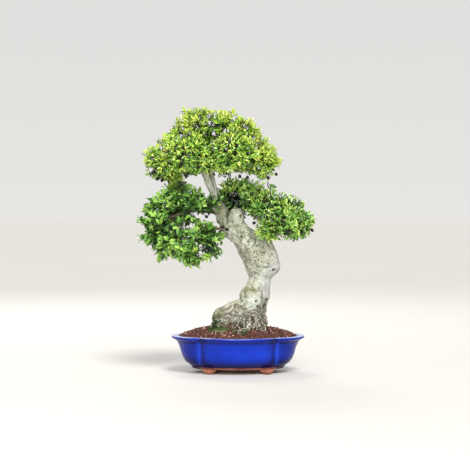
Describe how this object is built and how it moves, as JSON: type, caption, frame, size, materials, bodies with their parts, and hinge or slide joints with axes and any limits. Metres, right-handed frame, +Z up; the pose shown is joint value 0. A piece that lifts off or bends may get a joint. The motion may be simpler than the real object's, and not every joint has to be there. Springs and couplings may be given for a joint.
{
  "type": "potted bonsai tree",
  "caption": "Potted bonsai myrtle: thick leaning trunk on spreading roots, rounded pads of small leaves with dark berries, in a lobed glazed bowl on low feet.",
  "frame": {"origin": "on the table, under the middle of the whole plant's outline seen from above", "axes": "+Z up; +Y away from the front; +X to the right as seen from the front, along the pot's long side"},
  "size_m": [0.4288, 0.2416, 0.6396],
  "materials": {
    "glaze": "gloss",
    "screen": "matte",
    "soil": "matte",
    "bark": "matte",
    "foliage": "satin"
  },
  "bodies": {
    "root": {"pot": "glaze", "drain_screen_left": "screen", "drain_screen_right": "screen", "soil": "soil", "trunk": "bark", "foliage_crown_top": "foliage", "foliage_crown_shoulder_left": "foliage", "foliage_crown_shoulder_right": "foliage", "foliage_crown_end_left": "foliage", "foliage_crown_end_right": "foliage", "foliage_crown_front_left": "foliage", "foliage_crown_front_right": "foliage", "foliage_crown_back_left": "foliage", "foliage_crown_back_right": "foliage", "foliage_left_upper": "foliage", "foliage_left_outer": "foliage", "foliage_left_middle": "foliage", "foliage_left_lower": "foliage", "foliage_left_hanging": "foliage", "foliage_left_inner": "foliage", "foliage_left_back": "foliage", "foliage_right_middle": "foliage", "foliage_right_upper": "foliage", "foliage_right_outer": "foliage", "foliage_right_inner": "foliage", "foliage_right_back": "foliage", "foliage_middle_right": "foliage", "foliage_middle_back": "foliage"}
  },
  "joints": []
}
